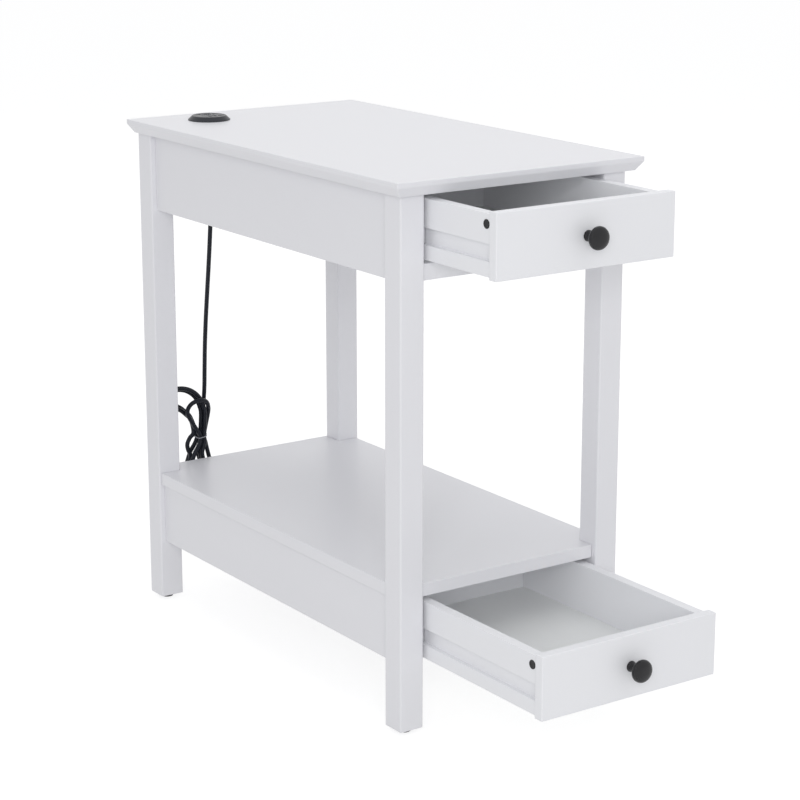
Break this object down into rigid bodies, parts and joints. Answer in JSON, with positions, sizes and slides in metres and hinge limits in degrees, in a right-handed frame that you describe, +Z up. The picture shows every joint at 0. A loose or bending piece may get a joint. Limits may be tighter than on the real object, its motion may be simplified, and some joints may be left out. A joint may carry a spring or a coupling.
{
  "type": "side table with drawers",
  "caption": "Narrow white side table with drawers, an open shelf between them, and a power dock in its top with a tied cord.",
  "frame": {"origin": "on the floor, at the middle of the width and of the whole length from the lower knob to the top's back edge, with both drawers part open", "axes": "+X along the width to the table's right, -Y the way the drawers pull out, +Z up"},
  "size_m": [0.326, 0.8134, 0.6155],
  "materials": {
    "white_paint": "satin white paint",
    "drawer_white": "satin white paint",
    "runner_white": "satin white paint",
    "liner_board": "matt white laminate",
    "beech": "raw",
    "steel": "zinc plated",
    "dock_plastic": "fine texture",
    "cap_plastic": "satin",
    "glide_plastic": "satin",
    "cord_black": "satin",
    "tie_plastic": "satin",
    "brass": "bright",
    "board_laminate": "solder mask",
    "knob_black": "satin black"
  },
  "bodies": {
    "carcass": {"top_panel": "white_paint", "leg_front_left": "white_paint", "leg_front_right": "white_paint", "leg_back_left": "white_paint", "leg_back_right": "white_paint", "leg_glides": "glide_plastic", "upper_apron_left": "white_paint", "upper_apron_right": "white_paint", "upper_apron_back": "white_paint", "upper_front_rail": "white_paint", "lower_apron_left": "white_paint", "lower_apron_right": "white_paint", "lower_apron_back": "white_paint", "shelf": "white_paint", "upper_runner_left": "runner_white", "upper_runner_right": "runner_white", "lower_runner_left": "runner_white", "lower_runner_right": "runner_white", "runner_screws": "steel", "frame_dowels": "beech", "leg_top_dowels": "beech", "shelf_dowels": "beech", "top_brackets": "steel", "bracket_screws": "steel", "dock_cap": "dock_plastic", "dock_housing": "dock_plastic", "dock_locknut": "dock_plastic", "dock_sockets": "steel", "dock_board": "board_laminate", "cord_gland": "cord_black", "power_cord": "cord_black", "cord_hank": "cord_black", "cord_tie": "tie_plastic", "cord_tail": "cord_black", "plug_body": "cord_black", "plug_blades": "brass"},
    "upper_drawer": {"upper_drawer_front": "drawer_white", "upper_drawer_left": "drawer_white", "upper_drawer_right": "drawer_white", "upper_drawer_back": "drawer_white", "upper_drawer_bottom": "liner_board", "upper_knob": "knob_black", "upper_knob_screw": "steel", "upper_drawer_dowels": "beech", "upper_cam_locks": "steel", "upper_cam_bolts": "steel", "upper_cam_caps": "cap_plastic"},
    "lower_drawer": {"lower_drawer_front": "drawer_white", "lower_drawer_left": "drawer_white", "lower_drawer_right": "drawer_white", "lower_drawer_back": "drawer_white", "lower_drawer_bottom": "liner_board", "lower_knob": "knob_black", "lower_knob_screw": "steel", "lower_drawer_dowels": "beech", "lower_cam_locks": "steel", "lower_cam_bolts": "steel", "lower_cam_caps": "cap_plastic"}
  },
  "joints": [
    {"name": "upper_drawer_slide", "type": "slide", "parent": "carcass", "child": "upper_drawer", "axis": [0, -1, 0], "range_m": [-0.12, 0.12]},
    {"name": "lower_drawer_slide", "type": "slide", "parent": "carcass", "child": "lower_drawer", "axis": [0, -1, 0], "range_m": [-0.205, 0.035]}
  ]
}
